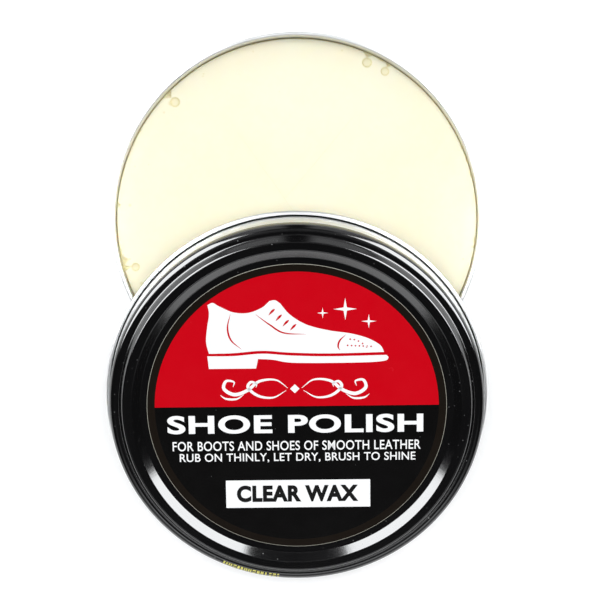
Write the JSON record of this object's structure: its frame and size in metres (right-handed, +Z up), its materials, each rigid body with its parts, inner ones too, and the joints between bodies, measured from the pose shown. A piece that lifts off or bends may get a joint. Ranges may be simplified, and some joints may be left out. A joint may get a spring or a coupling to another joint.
{
  "type": "shoe polish tin",
  "caption": "Open round tinplate tin of pale wax shoe polish, with its black press-on lid propped on the rim.",
  "frame": {"origin": "centre of the can's foot, on the plane that the can stands on", "axes": "+Z up along the can's axis, -Y towards the propped lid's near edge, X along the lid's tilt axis"},
  "size_m": [0.09, 0.1289, 0.0359],
  "materials": {
    "tinplate": "polished",
    "wax": "satin",
    "lid_enamel": "gloss",
    "label_paper": "satin"
  },
  "bodies": {
    "can": {"can_body": "tinplate", "wax_cake": "wax"},
    "lid": {"lid_shell": "lid_enamel", "lid_label": "label_paper"}
  },
  "joints": [
    {"name": "lid_lift", "type": "slide", "parent": "can", "child": "lid", "axis": [0, 0, 1], "range_m": [0, 0.05]}
  ]
}
